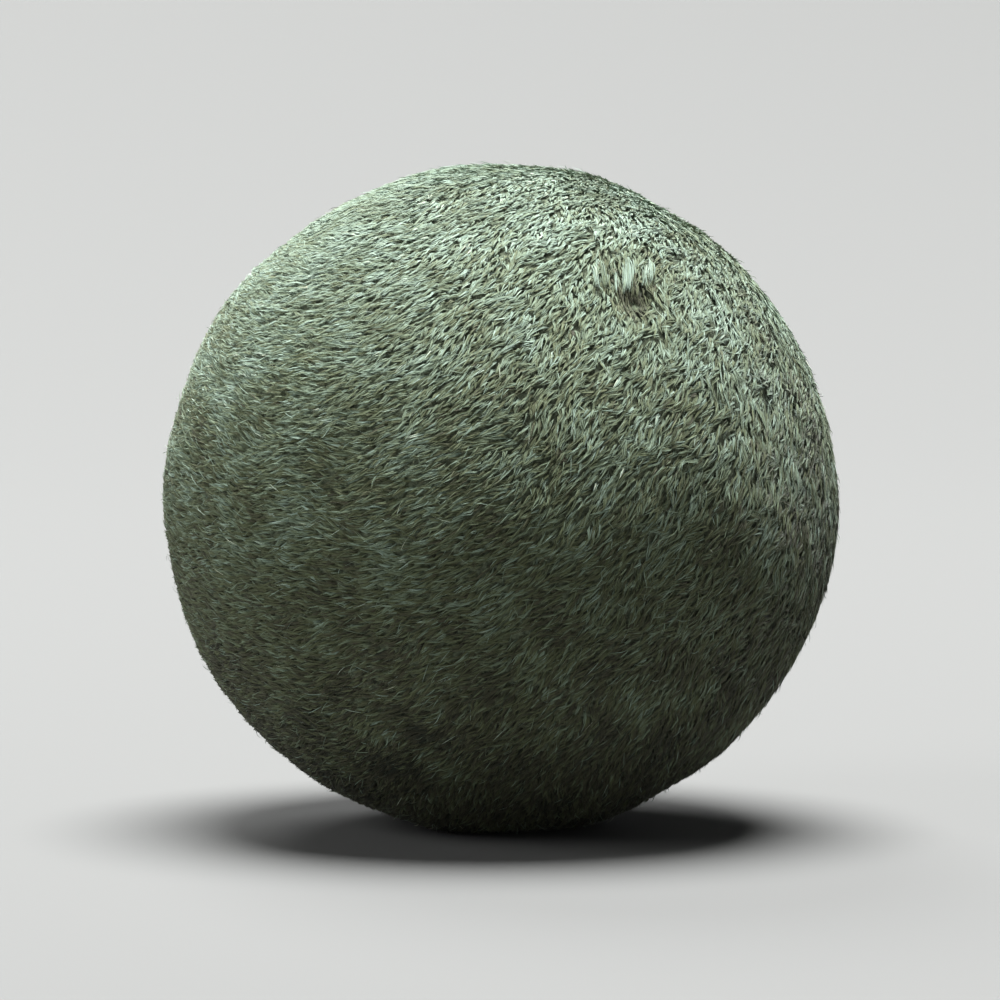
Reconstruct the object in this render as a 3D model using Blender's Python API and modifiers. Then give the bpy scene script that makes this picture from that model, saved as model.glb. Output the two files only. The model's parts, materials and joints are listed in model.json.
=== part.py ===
"""Plush moss ball for an aquarium: a thick pile cover drawn over a hollow lattice core.

Metres, +Z up. The origin is the middle of the small flat spot that the ball rests on.
-Y is the front, where the tie of the cover shows to the right of and above the middle.
"""

import math

import bmesh
import bpy
from mathutils import Matrix, Vector

# Driving sizes, in metres
BALL_RADIUS = 0.0229  # of the packed pile; loose pile tips stand a little proud of it
FLAT_RADIUS = 0.0055  # of the pressed spot that the ball rests on
CORE_RADIUS = 0.0206  # to the outer face of the lattice ribs
FIT_GAP = 0.0003  # between the core and the inside of the cover

RIB_WIDTH = 0.0011
RIB_DEPTH = 0.0026  # from the outer face of a rib to its inner face
CELLS_PER_SIDE = 3  # lattice squares along each side of the cube that the core is blown up from

TIE_DIRECTION = Vector((0.40, -0.675, 0.62)).normalized()  # where the cover is gathered shut
TIE_HOLE_RADIUS = 0.0009
DIMPLE_DEPTH = 0.0008
DIMPLE_RADIUS = 0.0024  # of the dimple's rim

# Facets
BALL_MERIDIANS = 44
BALL_RINGS = 30
HOLLOW_MERIDIANS = 32
HOLLOW_RINGS = 16
DIMPLE_MERIDIANS = 32
DIMPLE_RINGS = 24
HOLE_SIDES = 12

# Derived sizes
BALL_CENTRE = Vector((0.0, 0.0, math.sqrt(BALL_RADIUS**2 - FLAT_RADIUS**2)))
HOLLOW_RADIUS = CORE_RADIUS + FIT_GAP
# A sphere pressed in by the dimple's depth, past the ball's own bulge inside the dimple's rim
DIMPLE_SAG = DIMPLE_DEPTH - DIMPLE_RADIUS**2 / (2 * BALL_RADIUS)
DIMPLE_BALL_RADIUS = (DIMPLE_RADIUS**2 + DIMPLE_SAG**2) / (2 * DIMPLE_SAG)


def clear_scene():
    for obj in list(bpy.data.objects):
        bpy.data.objects.remove(obj, do_unlink=True)


def new_collection(name):
    collection = bpy.data.collections.new(name)
    bpy.context.scene.collection.children.link(collection)
    return collection


def plain_material(name, colour, roughness):
    material = bpy.data.materials.new(name)
    material.use_nodes = True
    shader = material.node_tree.nodes["Principled BSDF"]
    shader.inputs["Base Color"].default_value = (*colour, 1.0)
    shader.inputs["Roughness"].default_value = roughness
    shader.inputs["Metallic"].default_value = 0.0
    return material


def object_from(bm, name, collection, material=None):
    """A smooth-shaded object that holds the bmesh, which is freed."""
    mesh = bpy.data.meshes.new(name)
    bm.to_mesh(mesh)
    bm.free()
    mesh.shade_smooth()
    if material is not None:
        mesh.materials.append(material)
    obj = bpy.data.objects.new(name, mesh)
    collection.objects.link(obj)
    return obj


def cut(obj, cutter):
    cutter.hide_render = True
    cutter.display_type = "WIRE"
    modifier = obj.modifiers.new(f"cut_{cutter.name}", "BOOLEAN")
    modifier.operation = "DIFFERENCE"
    modifier.object = cutter


def sphere_object(name, collection, meridians, rings, radius, material=None):
    bm = bmesh.new()
    bmesh.ops.create_uvsphere(bm, u_segments=meridians, v_segments=rings, radius=radius)
    return object_from(bm, name, collection, material)


def moss_cover(parts, cutters):
    """The pile cover: hollow for the core, pressed flat below, dimpled and open at the tie."""
    material = plain_material("moss_pile", (0.155, 0.175, 0.125), 0.95)
    cover = sphere_object(
        "moss_cover", parts, BALL_MERIDIANS, BALL_RINGS, BALL_RADIUS, material
    )
    cover.location = BALL_CENTRE

    floor_side = 4.0 * BALL_RADIUS
    floor = bmesh.new()
    bmesh.ops.create_cube(floor, size=floor_side)
    floor_cutter = object_from(floor, "under_flat_spot", cutters)
    floor_cutter.location = (0.0, 0.0, -floor_side / 2)

    # Grown until the middles of its facets lie on the true sphere, so that the core keeps its gap.
    facet_depth = math.cos(math.pi / HOLLOW_MERIDIANS) * math.cos(math.pi / 2 / HOLLOW_RINGS)
    hollow_cutter = sphere_object(
        "hollow", cutters, HOLLOW_MERIDIANS, HOLLOW_RINGS, HOLLOW_RADIUS / facet_depth
    )
    hollow_cutter.location = BALL_CENTRE

    dimple_cutter = sphere_object(
        "dimple", cutters, DIMPLE_MERIDIANS, DIMPLE_RINGS, DIMPLE_BALL_RADIUS
    )
    dimple_floor = BALL_RADIUS - DIMPLE_DEPTH
    dimple_cutter.location = BALL_CENTRE + TIE_DIRECTION * (dimple_floor + DIMPLE_BALL_RADIUS)

    hole = bmesh.new()
    bmesh.ops.create_cone(
        hole,
        cap_ends=True,
        segments=HOLE_SIDES,
        radius1=TIE_HOLE_RADIUS,
        radius2=TIE_HOLE_RADIUS,
        depth=BALL_RADIUS,
    )
    hole_cutter = object_from(hole, "tie_hole", cutters)
    hole_cutter.location = BALL_CENTRE + TIE_DIRECTION * BALL_RADIUS

    for cutter in (dimple_cutter, hole_cutter):
        cutter.rotation_mode = "QUATERNION"
        cutter.rotation_quaternion = TIE_DIRECTION.to_track_quat("Z", "Y")
    for cutter in (floor_cutter, hollow_cutter, dimple_cutter, hole_cutter):
        cut(cover, cutter)
    return cover


def lattice_sphere():
    """A cube of square cells blown up to a sphere, each cell crossed by both its diagonals.

    The cells' corners are spaced evenly in angle: a cube coordinate c from -1 to 1 becomes
    tan(c * 45 degrees) before the point is drawn out to the radius.
    """
    bm = bmesh.new()
    bmesh.ops.create_cube(bm, size=2.0)
    bmesh.ops.subdivide_edges(
        bm, edges=bm.edges[:], cuts=CELLS_PER_SIDE - 1, use_grid_fill=True
    )
    for vert in bm.verts:
        vert.co = Vector(math.tan(c * math.pi / 4) for c in vert.co)
    bmesh.ops.poke(bm, faces=bm.faces[:])
    for vert in bm.verts:
        vert.co = vert.co.normalized() * CORE_RADIUS
    bm.normal_update()
    return bm


def filter_core(parts):
    """The hollow plastic lattice inside the cover: deep ribs round three-cornered windows."""
    material = plain_material("core_plastic", (0.075, 0.075, 0.08), 0.55)
    bm = lattice_sphere()
    windows = bm.faces[:]
    bmesh.ops.inset_individual(bm, faces=windows, thickness=RIB_WIDTH / 2, use_even_offset=True)
    bmesh.ops.delete(bm, geom=windows, context="FACES_ONLY")
    core = object_from(bm, "filter_core", parts, material)
    core.data.transform(Matrix.Translation(BALL_CENTRE))
    core.data.set_sharp_from_angle(angle=math.radians(30))
    ribs = core.modifiers.new("rib_depth", "SOLIDIFY")
    ribs.thickness = RIB_DEPTH
    ribs.offset = -1.0
    return core


def main():
    clear_scene()
    parts = new_collection("moss_ball")
    cutters = new_collection("cutters")
    moss_cover(parts, cutters)
    filter_core(parts)


main()
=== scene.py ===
"""Looks of a plush moss ball: felt skin, combed pile, stray fibres, lattice core and a plain studio.

Lengths are in metres. n is always an outward direction from the middle of the ball.
"""

import json
import math

import bpy
import numpy as np
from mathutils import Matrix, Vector

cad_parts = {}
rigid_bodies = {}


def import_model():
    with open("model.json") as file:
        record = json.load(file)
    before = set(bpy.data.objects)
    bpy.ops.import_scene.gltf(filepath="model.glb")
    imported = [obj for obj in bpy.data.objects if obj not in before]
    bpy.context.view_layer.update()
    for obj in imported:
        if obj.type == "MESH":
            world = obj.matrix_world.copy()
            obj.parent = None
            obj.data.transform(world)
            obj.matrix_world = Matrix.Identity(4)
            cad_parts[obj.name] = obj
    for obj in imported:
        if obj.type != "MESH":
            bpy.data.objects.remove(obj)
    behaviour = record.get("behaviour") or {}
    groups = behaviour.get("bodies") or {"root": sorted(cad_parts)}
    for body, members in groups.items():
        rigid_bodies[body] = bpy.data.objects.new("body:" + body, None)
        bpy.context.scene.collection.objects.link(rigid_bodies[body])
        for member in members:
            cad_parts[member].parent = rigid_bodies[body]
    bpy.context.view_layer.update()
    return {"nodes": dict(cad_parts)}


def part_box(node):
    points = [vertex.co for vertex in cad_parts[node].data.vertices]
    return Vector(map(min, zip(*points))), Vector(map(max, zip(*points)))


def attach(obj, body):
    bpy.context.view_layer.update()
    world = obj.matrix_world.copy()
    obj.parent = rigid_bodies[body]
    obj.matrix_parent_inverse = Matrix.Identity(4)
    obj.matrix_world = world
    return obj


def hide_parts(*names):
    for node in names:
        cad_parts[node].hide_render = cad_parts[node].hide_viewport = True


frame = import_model()

bl_info = {
    "name": "Moss Ball",
    "version": (1, 0, 0),
    "blender": (4, 5, 0),
    "location": "3D View > Sidebar > Moss Ball",
    "description": "Makes the pile, skin and core of a plush moss ball, and a studio round it",
    "category": "Add Mesh",
}

# Places taken from the frame
COVER_LOW, COVER_HIGH = (np.array(corner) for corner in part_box("moss_cover"))
BALL_RADIUS = float(COVER_HIGH[0] - COVER_LOW[0]) / 2
BALL_CENTRE = np.array(
    [
        (COVER_LOW[0] + COVER_HIGH[0]) / 2,
        (COVER_LOW[1] + COVER_HIGH[1]) / 2,
        COVER_HIGH[2] - BALL_RADIUS,
    ]
)
FLOOR_CLEARANCE = 0.00003

BODY = "root"
# The pile's map: across it each fibre's tone, its dye with painted light and shade, up it the way
# from root to tip. A bake keeps this name.
PILE_MAP = "OFBake"
# Half of a fibre's own width on that map
FIBRE_MAP_HALF_WIDTH = 0.0025


def unit(vectors):
    """Vectors over their lengths."""
    lengths = np.linalg.norm(vectors, axis=-1, keepdims=True)
    return vectors / np.maximum(lengths, 1e-12)


# The tie, where the cover is gathered: a small pit, and above it a thin patch that locks hang over
TIE = unit(np.array([0.40, -0.675, 0.62]))
TIE_SIDE = unit(np.cross([0.0, 0.0, 1.0], TIE))
TIE_UP = np.cross(TIE, TIE_SIDE)
PIT_DEPTH = 0.0008
PIT_WIDTH = 0.0011
PIT_HEIGHT = 0.0007
PATCH_DEPTH = 0.0003
PATCH_WIDTH = 0.0021
PATCH_HEIGHT = 0.0017
PATCH_ABOVE = 0.0014
HANG = 0.9

LUMP_HEIGHT = 0.00010
LUMP_WAVELENGTH = 0.011

# The locks over the tie: how far each root lies to the side of the tie and above it, and each
# lock's length and width. They lean in towards the tie, and all of them a little to one side.
LOCKS = np.array(
    [
        (-0.0022, 0.0034, 0.0022, 0.00034),
        (-0.0014, 0.0036, 0.0024, 0.00036),
        (-0.0007, 0.0030, 0.0023, 0.00026),
        (-0.0001, 0.0026, 0.0020, 0.00024),
        (0.0007, 0.0038, 0.0030, 0.00070),
        (0.0017, 0.0032, 0.0022, 0.00030),
        (0.0025, 0.0040, 0.0026, 0.00044),
    ]
)
LOCKS_LEAN = -0.36
LOCKS_GATHER = 0.16

# The comb strokes that lay the pile: each adds its part of the flow, and the sum is followed
COMB_DRAG = np.array([-0.05, 0.12, -0.04])
COMB_TWIST = np.array([0.21, 0.10, -0.24])
SIDE_STROKE = np.array([0.60, -0.29, 0.60])
SIDE_STROKE_REACH = np.array([-0.05, -0.30, -0.21])

# The shoulder where the pile is handled most, and is longer, looser and less neatly combed
SHOULDER = unit(np.array([0.82, -0.45, 0.22]))
SHOULDER_SPREAD = 0.75


def along_ground(n, vector):
    """The part of vector that lies along the ball's surface at n: vector less its share of n."""
    return vector - (n @ vector)[:, None] * n


def ripple(points, wavelength, seed, waves=28):
    """Smooth random numbers with a spread of about 1.

    The sum of sine waves in random headings, each of about the given wavelength, at the points.
    """
    rng = np.random.default_rng(seed)
    heading = unit(rng.normal(size=(waves, 3)))
    pace = 2 * math.pi / (wavelength * rng.uniform(0.7, 1.5, waves))
    phase = rng.uniform(0, 2 * math.pi, waves)
    return np.sin(points @ (heading * pace[:, None]).T + phase).sum(1) * math.sqrt(2 / waves)


def from_tie(n):
    """Distances of n from the tie, sideways and upwards over the surface, far off on the back."""
    behind = BALL_RADIUS * (n @ TIE < 0)
    return BALL_RADIUS * (n @ TIE_SIDE) + behind, BALL_RADIUS * (n @ TIE_UP) + behind


def bell(*shares):
    """1 where every share is 0, falling to 0 past 1: e to the power of less the sum of squares."""
    return np.exp(-sum(share**2 for share in shares))


def tie_patch(n):
    """1 in the middle of the thin patch above the tie, falling to 0 within a few millimetres."""
    side, above = from_tie(n)
    return bell(side / PATCH_WIDTH, (above - PATCH_ABOVE) / PATCH_HEIGHT)


def pit(n):
    """1 at the tie, falling to 0 within a millimetre."""
    side, above = from_tie(n)
    return bell(side / PIT_WIDTH, above / PIT_HEIGHT)


def pile_top(n):
    """Distance from the ball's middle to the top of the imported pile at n.

    The ball's radius, plus long low lumps, less the bell-shaped pit and patch of the tie, and
    never past the flat that the ball rests on, where it is the distance to the floor along n.
    """
    lumps = LUMP_HEIGHT * ripple(n * BALL_RADIUS, LUMP_WAVELENGTH, 3)
    sunk = PIT_DEPTH * pit(n) + PATCH_DEPTH * tie_patch(n)
    to_floor = BALL_CENTRE[2] / np.maximum(-n[:, 2], 1e-6)
    return np.minimum(BALL_RADIUS + lumps - sunk, to_floor)


def nap(n):
    """The way the pile is combed at n, as a unit vector along the surface.

    A drag one way, plus a twist about an axis, plus one more stroke that is strong on one side.
    Above the tie a pull straight down to it is added, which fades within a few millimetres.
    """
    flow = along_ground(n, COMB_DRAG) + np.cross(COMB_TWIST, n)
    flow = flow + (n @ SIDE_STROKE_REACH)[:, None] * along_ground(n, SIDE_STROKE)
    return unit(flow - HANG * tie_patch(n)[:, None] * along_ground(n, TIE_UP))


def tousle(n):
    """How loose the pile is at n: a bell in the angle from the shoulder, from 1 down to 0."""
    return np.exp(-((np.arccos(np.clip(n @ SHOULDER, -1, 1)) / SHOULDER_SPREAD) ** 2))


def turned(n, vector, angle):
    """vector, which lies along the surface at n, turned about n by angle."""
    return vector * np.cos(angle)[:, None] + np.cross(n, vector) * np.sin(angle)[:, None]


def spread_directions(count, rng, jitter):
    """Directions spread evenly over the ball, each moved at random by jitter of their spacing.

    Point i of a golden-angle spiral: height 1 - (2i + 1) / count, turned by i golden angles.
    """
    index = np.arange(count)
    height = 1 - (2 * index + 1) / count
    turn = index * math.pi * (3 - math.sqrt(5))
    ring = np.sqrt(1 - height**2)
    n = np.stack([ring * np.cos(turn), ring * np.sin(turn), height], 1)
    spacing = math.sqrt(4 * math.pi / count)
    return unit(n + rng.normal(size=n.shape) * jitter * spacing)


# Meshes


def put_in_scene(name, mesh, material):
    """The mesh as a piece that moves with the ball, with the given material."""
    mesh.materials.append(material)
    mesh.shade_smooth()
    piece = bpy.data.objects.new(name, mesh)
    bpy.context.scene.collection.objects.link(piece)
    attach(piece, BODY)
    return piece


def mesh_from(name, points, corners, corner_counts, corner_map=None):
    """A mesh from whole arrays: points, the point of each face corner, and corners per face."""
    mesh = bpy.data.meshes.new(name)
    mesh.vertices.add(len(points))
    mesh.vertices.foreach_set("co", points.astype(np.float32).ravel())
    mesh.loops.add(len(corners))
    mesh.loops.foreach_set("vertex_index", corners.astype(np.int32))
    starts = np.concatenate([[0], np.cumsum(corner_counts)[:-1]])
    mesh.polygons.add(len(corner_counts))
    mesh.polygons.foreach_set("loop_start", starts.astype(np.int32))
    if corner_map is not None:
        layer = mesh.uv_layers.new(name=PILE_MAP, do_init=False)
        layer.uv.foreach_set("vector", corner_map[corners].astype(np.float32).ravel())
    mesh.update(calc_edges=True)
    return mesh


def closed_ball(rings, meridians, radius_at):
    """Points and faces of a ball whose radius is a function of direction, closed at both poles.

    Grid point (i, j) lies at i of rings steps down from the top pole and j of meridians round.
    """
    down = np.arange(1, rings) * math.pi / rings
    around = np.arange(meridians) * 2 * math.pi / meridians
    down, around = np.meshgrid(down, around, indexing="ij")
    body = np.stack(
        [np.sin(down) * np.cos(around), np.sin(down) * np.sin(around), np.cos(down)], -1
    ).reshape(-1, 3)
    n = np.concatenate([body, [[0, 0, 1.0]], [[0, 0, -1.0]]])
    points = BALL_CENTRE + n * radius_at(n)[:, None]

    i, j = np.meshgrid(np.arange(rings - 2), np.arange(meridians), indexing="ij")
    here = i * meridians + j
    beside = i * meridians + (j + 1) % meridians
    quads = np.stack([here, here + meridians, beside + meridians, beside], -1).reshape(-1, 4)
    first = np.arange(meridians)
    after = (first + 1) % meridians
    last_ring = (rings - 2) * meridians
    top = np.stack([np.full(meridians, len(body)), first, after], 1)
    bottom = np.stack(
        [np.full(meridians, len(body) + 1), last_ring + after, last_ring + first], 1
    )
    corners = np.concatenate([quads.ravel(), top.ravel(), bottom.ravel()])
    counts = np.concatenate([np.full(len(quads), 4), np.full(2 * meridians, 3)])
    return points, corners, counts


def strands(path, up, share, width, roll, twist, fibre_tone):
    """Points, faces and map of flat tapering strands.

    path is (strands, stations, 3), and share is each station's share of the length. At each
    station the strand's two edges lie half its width to either side, along the cross product of
    its run and the outward way, tilted by roll and by twist more from root to tip. The last
    station is one point, and nothing goes below the floor.
    Across the map lies the fibre's tone, its dye with any painted light and shade, with a hair's
    breadth for the strand's own width, and up it the share of the length.
    """
    count, stations = path.shape[:2]
    run = np.gradient(path, axis=1)
    flat = unit(np.cross(run, up))
    lift = unit(np.cross(flat, run))
    tilt = roll[:, None] + twist[:, None] * (share - 0.5)
    side = flat * np.cos(tilt)[..., None] + lift * np.sin(tilt)[..., None]
    taper = np.where(share < 0.5, 0.75 + 0.5 * share, 1.0 - 0.75 * (share - 0.5))
    half = side * (width[:, None] * taper / 2)[..., None]
    edges = np.stack([path - half, path + half], 2)[:, :-1].reshape(count, -1, 3)
    points = np.concatenate([edges, path[:, -1:]], 1)
    points[..., 2] = np.maximum(points[..., 2], FLOOR_CLEARANCE)

    across = np.stack([fibre_tone - FIBRE_MAP_HALF_WIDTH, fibre_tone + FIBRE_MAP_HALF_WIDTH], 1)
    u = np.concatenate([np.tile(across, (1, stations - 1)), fibre_tone[:, None]], 1)
    v = np.broadcast_to(np.append(np.repeat(share[:-1], 2), 1.0), u.shape)
    corner_map = np.stack([u, v], -1).reshape(-1, 2)

    faces = []
    for station in range(stations - 2):
        left = 2 * station
        faces += [left, left + 1, left + 3, left + 2]
    left = 2 * (stations - 2)
    faces += [left, left + 1, left + 2]
    per_strand = 2 * (stations - 1) + 1
    corners = (np.arange(count) * per_strand)[:, None] + np.array(faces)
    counts = np.tile([4] * (stations - 2) + [3], count)
    return points.reshape(-1, 3), corners.ravel(), counts, corner_map


def over_ball(n, ahead, aside, forward, sideways, height):
    """Paths laid over the pile's top, from starts at n.

    Each station lies forward along ahead and sideways along aside, drawn in to the ball, and
    height above the top of the pile there.
    """
    way = unit(
        n[:, None] * BALL_RADIUS
        + ahead[:, None] * forward[..., None]
        + aside[:, None] * sideways[..., None]
    )
    top = pile_top(way.reshape(-1, 3)).reshape(way.shape[:2])
    return BALL_CENTRE + way * (top + height)[..., None], way


# Materials


def node(tree, kind, **settings):
    made = tree.nodes.new(kind)
    for name, value in settings.items():
        setattr(made, name, value)
    return made


def principled(name, roughness, sheen=0.0, specular=0.5):
    material = bpy.data.materials.new(name)
    material.use_nodes = True
    tree = material.node_tree
    shader = tree.nodes["Principled BSDF"]
    shader.inputs["Roughness"].default_value = roughness
    shader.inputs["Specular IOR Level"].default_value = specular
    shader.inputs["Sheen Weight"].default_value = sheen
    shader.inputs["Sheen Roughness"].default_value = 0.45
    return material, tree, shader


def ramp(tree, stops):
    made = node(tree, "ShaderNodeValToRGB")
    band = made.color_ramp.elements
    while len(band) < len(stops):
        band.new(1.0)
    for element, (place, colour) in zip(band, stops):
        element.position = place
        element.color = (*colour, 1.0)
    return made


def multiplied(tree, first, second):
    made = node(tree, "ShaderNodeMix", data_type="RGBA", blend_type="MULTIPLY")
    made.inputs["Factor"].default_value = 1.0
    tree.links.new(first, made.inputs["A"])
    tree.links.new(second, made.inputs["B"])
    return made.outputs["Result"]


def pile_material(colours):
    """Dyed fibre: the map's tone picks a colour from bottle green to pale straw, painted shade makes
    the roots darker and painted light makes the tips lighter.
    """
    material, tree, shader = principled("combed_pile", roughness=0.75, sheen=0.15, specular=0.2)
    place = node(tree, "ShaderNodeUVMap", uv_map=PILE_MAP)
    parts = node(tree, "ShaderNodeSeparateXYZ")
    tree.links.new(place.outputs["UV"], parts.inputs[0])
    fibre_tone = ramp(
        tree,
        [
            (0.05, colours.deep),
            (0.25, colours.bark),
            (0.42, colours.olive),
            (0.58, colours.sage),
            (0.78, colours.mist),
            (0.97, colours.straw),
        ],
    )
    tree.links.new(parts.outputs["X"], fibre_tone.inputs["Fac"])
    # Painted shade at the roots and painted light at the tips, by the share of the fibre's length
    depth = ramp(
        tree,
        [(0.0, (0.70, 0.70, 0.67)), (0.5, (0.90, 0.90, 0.88)), (1.0, (1.15, 1.15, 1.13))],
    )
    tree.links.new(parts.outputs["Y"], depth.inputs["Fac"])
    colour = multiplied(tree, fibre_tone.outputs["Color"], depth.outputs["Color"])
    tree.links.new(colour, shader.inputs["Base Color"])
    return material


def made_pile_material(context):
    """The pile's material, made the first time that a piece asks for it."""
    return bpy.data.materials.get("combed_pile") or pile_material(context.scene.moss_colours)


def felt_material(colour):
    """Matted backing: fine noise darkens and lightens one dark green, with a fine bump."""
    material, tree, shader = principled("matted_backing", roughness=0.95, sheen=0.1, specular=0.1)
    place = node(tree, "ShaderNodeTexCoord")
    fine = node(tree, "ShaderNodeTexNoise")
    fine.inputs["Scale"].default_value = 3500.0
    fine.inputs["Detail"].default_value = 3.0
    tree.links.new(place.outputs["Object"], fine.inputs["Vector"])
    shades = ramp(
        tree,
        [(0.3, [0.45 * c for c in colour]), (0.7, [1.7 * c for c in colour])],
    )
    tree.links.new(fine.outputs["Fac"], shades.inputs["Fac"])
    tree.links.new(shades.outputs["Color"], shader.inputs["Base Color"])
    bump = node(tree, "ShaderNodeBump")
    bump.inputs["Distance"].default_value = 0.0001
    tree.links.new(fine.outputs["Fac"], bump.inputs["Height"])
    tree.links.new(bump.outputs["Normal"], shader.inputs["Normal"])
    return material


def core_material(colour):
    """Moulded plastic: one dark grey with a faint cloudiness and a fine moulded grain."""
    material, tree, shader = principled("moulded_core", roughness=0.5)
    place = node(tree, "ShaderNodeTexCoord")
    clouds = node(tree, "ShaderNodeTexNoise")
    clouds.inputs["Scale"].default_value = 120.0
    tree.links.new(place.outputs["Object"], clouds.inputs["Vector"])
    shades = ramp(
        tree,
        [(0.35, [0.8 * c for c in colour]), (0.65, [1.25 * c for c in colour])],
    )
    tree.links.new(clouds.outputs["Fac"], shades.inputs["Fac"])
    tree.links.new(shades.outputs["Color"], shader.inputs["Base Color"])
    grain = node(tree, "ShaderNodeTexNoise")
    grain.inputs["Scale"].default_value = 2500.0
    tree.links.new(place.outputs["Object"], grain.inputs["Vector"])
    bump = node(tree, "ShaderNodeBump")
    bump.inputs["Distance"].default_value = 0.00005
    bump.inputs["Strength"].default_value = 0.4
    tree.links.new(grain.outputs["Fac"], bump.inputs["Height"])
    tree.links.new(bump.outputs["Normal"], shader.inputs["Normal"])
    return material


def stage_material(colour):
    """Plain matt floor of one colour."""
    material, _tree, shader = principled("studio_floor", roughness=0.9, specular=0.1)
    shader.inputs["Base Color"].default_value = (*colour, 1.0)
    return material


# Settings


def length(name, description, default):
    return bpy.props.FloatProperty(
        name=name, description=description, default=default, min=0.0, unit="LENGTH", precision=5
    )


def colour(name, description, default):
    return bpy.props.FloatVectorProperty(
        name=name,
        description=description,
        default=default,
        subtype="COLOR",
        size=3,
        min=0.0,
        max=1.0,
    )


class PileSettings(bpy.types.PropertyGroup):
    tufts: bpy.props.IntProperty(
        name="Tufts", description="Tufts over the whole ball", default=72000, min=100
    )
    fibres: bpy.props.IntProperty(
        name="Fibres", description="Fibres in a tuft", default=4, min=1
    )
    length: length("Length", "Length of a fibre over the surface", 0.00105)
    width: length("Width", "Width of a fibre at its widest", 0.000080)
    depth: length("Depth", "Depth of a fibre's root below the pile's top", 0.00045)
    tuft_radius: length("Tuft radius", "Radius of a tuft at its root", 0.00015)
    lift: length("Lift", "Height of a loose tip above the pile's top", 0.00006)
    seed: bpy.props.IntProperty(name="Seed", description="Seed of the random laying", default=11)


class PileColours(bpy.types.PropertyGroup):
    deep: colour("Deep", "Darkest dye", (0.022, 0.028, 0.020))
    bark: colour("Bark", "Dark brown dye", (0.070, 0.068, 0.044))
    olive: colour("Olive", "Olive dye", (0.116, 0.136, 0.070))
    sage: colour("Sage", "Middle grey-green dye", (0.184, 0.240, 0.168))
    mist: colour("Mist", "Pale grey-green dye", (0.284, 0.380, 0.320))
    straw: colour("Straw", "Palest, yellowish dye", (0.520, 0.550, 0.420))


class FinishColours(bpy.types.PropertyGroup):
    felt: colour("Felt", "Backing under the pile", (0.095, 0.112, 0.075))
    core: colour("Core", "Plastic of the lattice core", (0.045, 0.045, 0.048))
    floor: colour("Floor", "Studio floor", (0.14, 0.14, 0.138))


class StrayFibreSettings(bpy.types.PropertyGroup):
    count: bpy.props.IntProperty(
        name="Count", description="Loose fibres over the whole ball", default=6000, min=0
    )
    length: length("Length", "Length of a loose fibre", 0.0013)
    width: length("Width", "Width of a loose fibre", 0.000040)
    height: length("Height", "Most that a loose tip stands above the pile", 0.00035)


class TieLockSettings(bpy.types.PropertyGroup):
    pitch: length("Pitch", "Width of lock for each of its fibres", 0.000016)
    crown: length("Crown", "Most that a lock's middle stands above its edges", 0.00022)


class StageSettings(bpy.types.PropertyGroup):
    elevation: bpy.props.FloatProperty(
        name="Elevation",
        description="Camera's angle above the level of the ball's middle",
        default=math.radians(4),
        subtype="ANGLE",
    )
    distance: length("Distance", "From the camera to the ball's middle", 0.38)
    lens: bpy.props.FloatProperty(
        name="Lens", description="Camera's focal length in millimetres", default=200.0, min=10.0
    )


# One piece of pile for each side of the ball: +X, -X, +Y, -Y, +Z and -Z
SECTORS = ("nap_right", "nap_left", "nap_back", "nap_front", "nap_top", "nap_under")


def sector_of(n):
    """Index in SECTORS of the cube face that each direction looks through."""
    axis = np.argmax(np.abs(n), 1)
    negative = n[np.arange(len(n)), axis] < 0
    return axis * 2 + negative


class MOSSBALL_OT_felt_skin(bpy.types.Operator):
    """Make the matted backing that the pile grows from: the pile's top, drawn in, with fine lumps"""

    bl_idname = "mossball.felt_skin"
    bl_label = "Felt skin"

    def execute(self, context):
        inset = 0.6 * context.scene.moss_pile.depth

        def radius_at(n):
            return pile_top(n) - inset + 0.00004 * ripple(n * BALL_RADIUS, 0.0016, 8)

        points, corners, counts = closed_ball(rings=64, meridians=120, radius_at=radius_at)
        points[:, 2] = np.maximum(points[:, 2], 4 * FLOOR_CLEARANCE)
        mesh = mesh_from("felt_skin", points, corners, counts)
        skin = put_in_scene("felt_skin", mesh, felt_material(context.scene.moss_finish.felt))
        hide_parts("moss_cover")
        return {"FINISHED"}


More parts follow.
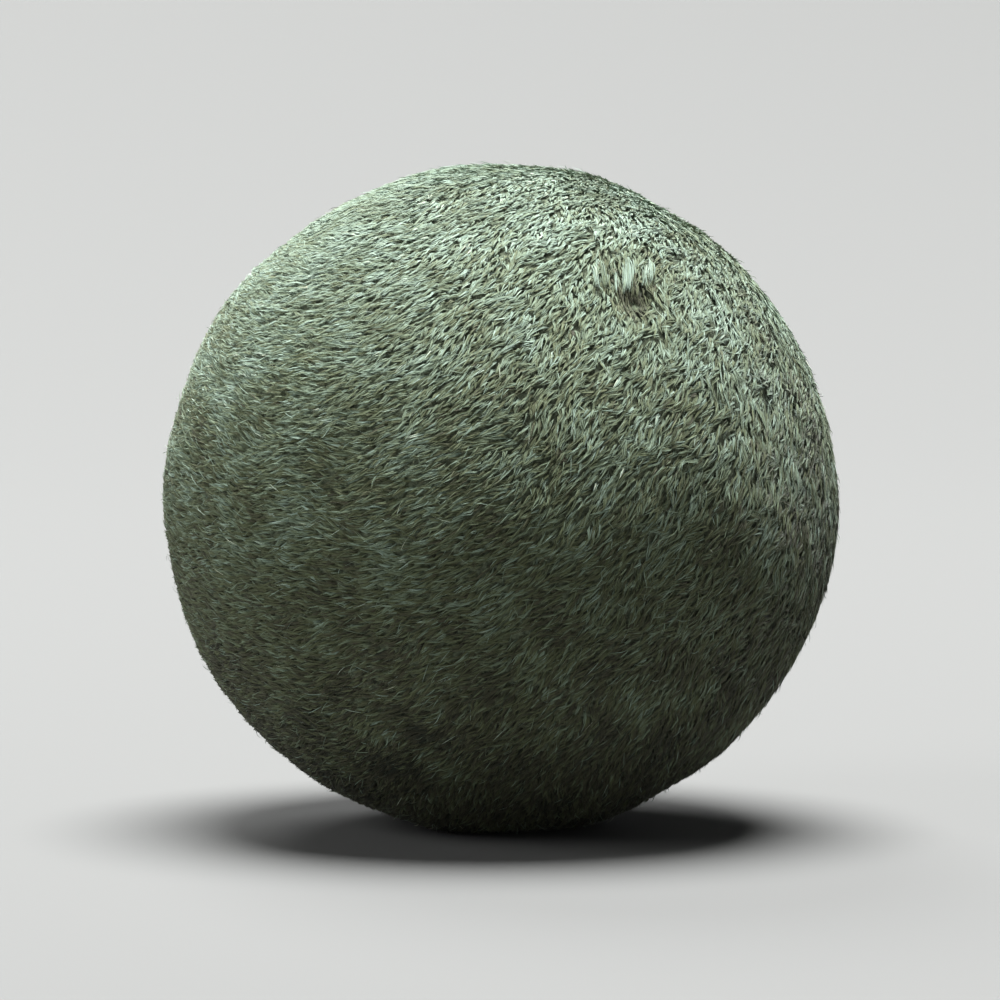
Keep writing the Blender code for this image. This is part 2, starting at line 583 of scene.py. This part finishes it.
class MOSSBALL_OT_pile(bpy.types.Operator):
    """Lay the combed pile, tuft by tuft, in six sectors of the ball"""

    bl_idname = "mossball.pile"
    bl_label = "Combed pile"

    def execute(self, context):
        pile = context.scene.moss_pile
        rng = np.random.default_rng(pile.seed)
        material = made_pile_material(context)
        tuft_n = spread_directions(pile.tufts, rng, 0.4)
        place = tuft_n * BALL_RADIUS
        loose = tousle(tuft_n)
        sway = 0.14 * ripple(place, 0.005, 21) + (0.14 + 0.26 * loose) * ripple(place, 0.0018, 22)
        sway = (sway + rng.normal(0, 0.13, pile.tufts)) * (1 - 0.8 * tie_patch(tuft_n))
        ahead = turned(tuft_n, nap(tuft_n), sway)
        aside = np.cross(tuft_n, ahead)
        tuft_length = pile.length * (1 + 0.45 * loose) * rng.uniform(0.65, 1.3, pile.tufts)
        tuft_bend = rng.normal(0, 0.00010, pile.tufts) * (1 + loose)
        tuft_lift = 0.6 * ripple(place, 0.0020, 23) + rng.normal(0, 0.5, pile.tufts)
        tuft_lift = pile.lift * (1 + 0.8 * loose) * tuft_lift
        bright = rng.uniform(0, 1, pile.tufts) < 0.2
        # Painted light and shade: the dye is paler towards the top and darker and browner
        # underneath, as if lit from above
        tuft_dye_and_shade = 0.43 + 0.20 * tuft_n[:, 2] - 0.06 * np.clip(-tuft_n[:, 2], 0, 1)
        tuft_dye_and_shade += 0.04 * ripple(place, 0.005, 24)
        tuft_dye_and_shade += rng.normal(0, 0.06, pile.tufts)
        # Painted shade under the locks and in the tie's pit: no bright tufts in the patch the locks
        # hang over, and darker dye there and in the pit
        tuft_dye_and_shade += bright * (0.17 - 0.09 * np.clip(tuft_n[:, 2], 0, 1)) * (1 - tie_patch(tuft_n))
        tuft_dye_and_shade -= 0.26 * tie_patch(tuft_n) + 0.14 * pit(tuft_n)

        which = np.repeat(np.arange(pile.tufts), pile.fibres)
        count = len(which)
        turn = rng.uniform(0, 2 * math.pi, count)
        reach = pile.tuft_radius * np.sqrt(rng.uniform(0, 1, count))
        root_forward, root_sideways = reach * np.cos(turn), reach * np.sin(turn)

        t = np.array([0.0, 0.42, 1.0])
        pinch = 1 - 0.6 * t
        own_length = tuft_length[which] * rng.uniform(0.8, 1.12, count)
        forward = own_length[:, None] * t + root_forward[:, None] * pinch
        arch = tuft_bend[which] + rng.normal(0, 0.00004, count)
        sideways = root_sideways[:, None] * pinch + arch[:, None] * 4 * t * (1 - t)
        tip_height = tuft_lift[which] + rng.normal(0.0, 0.00004, count)
        sunk = pile.depth * rng.uniform(0.75, 1.1, count)
        height = -sunk[:, None] * (1 - t) ** 4 + tip_height[:, None] * t

        path, way = over_ball(
            tuft_n[which], ahead[which], aside[which], forward, sideways, height
        )
        width = pile.width * rng.uniform(0.75, 1.25, count)
        roll = rng.normal(0, 0.35, count)
        twist = rng.normal(0, 0.4, count)
        fibre_tone = np.clip(tuft_dye_and_shade[which] + rng.normal(0, 0.06, count), 0.01, 0.99)

        sector = sector_of(tuft_n)[which]
        for index, name in enumerate(SECTORS):
            mine = sector == index
            made = strands(
                path[mine], way[mine], t, width[mine], roll[mine], twist[mine], fibre_tone[mine]
            )
            put_in_scene(name, mesh_from(name, *made), material)
        return {"FINISHED"}


class MOSSBALL_OT_tie_locks(bpy.types.Operator):
    """Hang the pale locks over the tie"""

    bl_idname = "mossball.tie_locks"
    bl_label = "Tie locks"

    def execute(self, context):
        locks = context.scene.moss_locks
        rng = np.random.default_rng(context.scene.moss_pile.seed + 2)
        material = made_pile_material(context)
        lock_side, above, lock_length, lock_width = LOCKS.T
        steps = lock_side[:, None] * TIE_SIDE + above[:, None] * TIE_UP
        lock_n = unit(TIE + steps / BALL_RADIUS)
        lean = LOCKS_LEAN - LOCKS_GATHER * lock_side / above
        lock_ahead = turned(lock_n, unit(-along_ground(lock_n, TIE_UP)), lean)
        lock_dye = rng.normal(0.66, 0.04, len(LOCKS))

        which = np.repeat(np.arange(len(LOCKS)), (lock_width / locks.pitch).astype(int))
        count = len(which)
        stray = rng.normal(0, 0.045, count)
        n = lock_n[which]
        ahead = turned(n, lock_ahead[which], stray)
        aside = np.cross(n, ahead)
        across = rng.uniform(-0.5, 0.5, count)
        start = rng.uniform(0, 0.4, count)
        t = np.array([0.0, 0.3, 0.65, 1.0])
        own_length = lock_length[which] * (1 - start) * rng.uniform(0.7, 1.1, count)
        forward = (lock_length[which] * start)[:, None] + own_length[:, None] * t
        wave = rng.normal(0, 0.00004, (count, 1)) * np.sin(math.pi * t)
        sideways = (lock_width[which] * across)[:, None] * (1 - 0.5 * t) + wave
        crown = locks.crown * rng.uniform(0.2, 1, (count, 1)) * (1 - 2 * np.abs(across[:, None]))
        sink = 0.0003 * (1 - t) ** 3 + 0.0001
        height = PATCH_DEPTH + crown * np.sin(math.pi * (0.15 + 0.8 * t)) - sink
        path, way = over_ball(n, ahead, aside, forward, sideways, height)
        width = context.scene.moss_pile.width * rng.uniform(0.45, 0.9, count)
        roll = rng.normal(0, 0.6, count)
        twist = rng.normal(0, 0.9, count)
        fibre_tone = np.clip(lock_dye[which] + rng.normal(0, 0.08, count), 0.01, 0.99)
        made = strands(path, way, t, width, roll, twist, fibre_tone)
        put_in_scene("tie_locks", mesh_from("tie_locks", *made), material)
        return {"FINISHED"}


class MOSSBALL_OT_stray_fibres(bpy.types.Operator):
    """Scatter the loose fibres that stand proud of the pile"""

    bl_idname = "mossball.stray_fibres"
    bl_label = "Stray fibres"

    def execute(self, context):
        stray = context.scene.moss_stray
        rng = np.random.default_rng(context.scene.moss_pile.seed + 1)
        material = made_pile_material(context)
        n = spread_directions(stray.count, rng, 0.5)
        ahead = turned(n, nap(n), rng.normal(0, 0.5, stray.count))
        aside = np.cross(n, ahead)
        t = np.linspace(0, 1, 4)
        own_length = stray.length * rng.uniform(0.5, 1.3, (stray.count, 1))
        bend = rng.normal(0, 0.00030, (stray.count, 1))
        rise = stray.height * rng.uniform(0, 1, (stray.count, 1)) ** 1.6
        curve = math.pi * rng.uniform(0.45, 0.8, (stray.count, 1))
        forward = own_length * t
        sideways = bend * t**2
        height = -0.0002 * (1 - t) + rise * np.sin(t * curve)
        path, way = over_ball(n, ahead, aside, forward, sideways, height)
        width = stray.width * rng.uniform(0.8, 1.2, stray.count)
        roll = rng.normal(0, 0.8, stray.count)
        twist = rng.normal(0, 1.0, stray.count)
        fibre_tone = np.clip(rng.normal(0.62, 0.12, stray.count), 0.01, 0.99)
        made = strands(path, way, t, width, roll, twist, fibre_tone)
        put_in_scene("stray_fibres", mesh_from("stray_fibres", *made), material)
        return {"FINISHED"}


class MOSSBALL_OT_core_finish(bpy.types.Operator):
    """Give the lattice core its moulded plastic"""

    bl_idname = "mossball.core_finish"
    bl_label = "Core finish"

    def execute(self, context):
        core = frame["nodes"]["filter_core"]
        material = core_material(context.scene.moss_finish.core)
        for slot in core.material_slots:
            slot.material = material
        return {"FINISHED"}


def area_light(name, place, aim, size, power, tint):
    """A round light of the given width at place, turned to face aim."""
    light = bpy.data.lights.new(name, "AREA")
    light.shape = "DISK"
    light.size = size
    light.energy = power
    light.color = tint
    holder = bpy.data.objects.new(name, light)
    bpy.context.scene.collection.objects.link(holder)
    holder.location = place
    heading = aim - holder.location
    holder.rotation_mode = "QUATERNION"
    holder.rotation_quaternion = heading.to_track_quat("-Z", "Y")


def sweep(name, floor_radius, bend_radius, bend_angle, material):
    """A round floor whose rim curves up all round, as one turned sheet.

    Its profile runs out along the floor and then up an arc, and is turned about Z.
    """
    bend = np.linspace(0, bend_angle, 17)[1:]
    flat = np.linspace(0.02, floor_radius, 12)
    radius = np.concatenate([flat, floor_radius + bend_radius * np.sin(bend)])
    height = np.concatenate([0 * flat, bend_radius * (1 - np.cos(bend))])
    meridians = 96
    around = np.arange(meridians) * 2 * math.pi / meridians
    points = np.stack(
        [
            radius[:, None] * np.cos(around),
            radius[:, None] * np.sin(around),
            np.broadcast_to(height[:, None], (len(radius), meridians)),
        ],
        -1,
    ).reshape(-1, 3)
    points = np.concatenate([points, [[0.0, 0.0, 0.0]]])
    i, j = np.meshgrid(np.arange(len(radius) - 1), np.arange(meridians), indexing="ij")
    here, beside = i * meridians + j, i * meridians + (j + 1) % meridians
    quads = np.stack([here, here + meridians, beside + meridians, beside], -1).reshape(-1, 4)
    first = np.arange(meridians)
    middle = np.stack(
        [np.full(meridians, len(points) - 1), first, (first + 1) % meridians], 1
    )
    corners = np.concatenate([quads.ravel(), middle.ravel()])
    counts = np.concatenate([np.full(len(quads), 4), np.full(meridians, 3)])
    mesh = mesh_from(name, points, corners, counts)
    mesh.materials.append(material)
    mesh.shade_smooth()
    made = bpy.data.objects.new(name, mesh)
    bpy.context.scene.collection.objects.link(made)


class MOSSBALL_OT_stage(bpy.types.Operator):
    """Set up the pale floor, the soft lights and the camera"""

    bl_idname = "mossball.stage"
    bl_label = "Studio"

    def execute(self, context):
        scene = context.scene
        stage = scene.moss_stage
        floor = stage_material(scene.moss_finish.floor)
        sweep("studio_sweep", 0.35, 1.3, math.radians(35), floor)

        middle = Vector(BALL_CENTRE)
        daylight = (0.985, 1.0, 0.995)
        area_light("overhead_light", Vector((0.05, 0.15, 1.35)), middle, 0.9, 80.0, daylight)
        area_light("rear_light", Vector((-0.30, 0.90, 0.90)), middle, 0.6, 14.0, daylight)
        area_light("left_light", Vector((-1.20, -0.45, 0.75)), middle, 0.9, 9.0, daylight)

        world = bpy.data.worlds.new("studio_air")
        world.use_nodes = True
        world.node_tree.nodes["Background"].inputs["Color"].default_value = (0.95, 0.98, 1.0, 1.0)
        world.node_tree.nodes["Background"].inputs["Strength"].default_value = 0.06
        scene.world = world

        camera = bpy.data.cameras.new("camera")
        camera.lens = stage.lens
        camera.clip_start = 0.01
        holder = bpy.data.objects.new("camera", camera)
        scene.collection.objects.link(holder)
        back = Vector((0.0, -math.cos(stage.elevation), math.sin(stage.elevation)))
        holder.location = middle + back * stage.distance
        holder.rotation_mode = "QUATERNION"
        holder.rotation_quaternion = (-back).to_track_quat("-Z", "Y")
        scene.camera = holder
        scene.view_settings.view_transform = "Standard"
        return {"FINISHED"}


class MOSSBALL_PT_panel(bpy.types.Panel):
    """Settings and makers of the moss ball"""

    bl_idname = "MOSSBALL_PT_panel"
    bl_label = "Moss Ball"
    bl_space_type = "VIEW_3D"
    bl_region_type = "UI"
    bl_category = "Moss Ball"

    def draw(self, context):
        for maker in MAKERS:
            self.layout.operator(maker.bl_idname)
        for holder in SETTINGS:
            settings = getattr(context.scene, holder)
            box = self.layout.box()
            for prop in settings.bl_rna.properties:
                if not prop.is_readonly and prop.identifier != "name":
                    box.prop(settings, prop.identifier)


MAKERS = (
    MOSSBALL_OT_stage,
    MOSSBALL_OT_core_finish,
    MOSSBALL_OT_felt_skin,
    MOSSBALL_OT_pile,
    MOSSBALL_OT_tie_locks,
    MOSSBALL_OT_stray_fibres,
)
SETTINGS = {
    "moss_pile": PileSettings,
    "moss_colours": PileColours,
    "moss_finish": FinishColours,
    "moss_locks": TieLockSettings,
    "moss_stray": StrayFibreSettings,
    "moss_stage": StageSettings,
}


def register():
    for holder, group in SETTINGS.items():
        bpy.utils.register_class(group)
        setattr(bpy.types.Scene, holder, bpy.props.PointerProperty(type=group))
    for maker in MAKERS:
        bpy.utils.register_class(maker)
    bpy.utils.register_class(MOSSBALL_PT_panel)


def unregister():
    bpy.utils.unregister_class(MOSSBALL_PT_panel)
    for maker in reversed(MAKERS):
        bpy.utils.unregister_class(maker)
    for holder, group in SETTINGS.items():
        delattr(bpy.types.Scene, holder)
        bpy.utils.unregister_class(group)


def main():
    for leftover in [o for o in bpy.data.objects if o.name in ("Cube", "Light", "Camera")]:
        bpy.data.objects.remove(leftover)
    register()
    bpy.ops.mossball.stage()
    bpy.ops.mossball.core_finish()
    bpy.ops.mossball.felt_skin()
    bpy.ops.mossball.pile()
    bpy.ops.mossball.tie_locks()
    bpy.ops.mossball.stray_fibres()


if __name__ == "__main__":
    main()
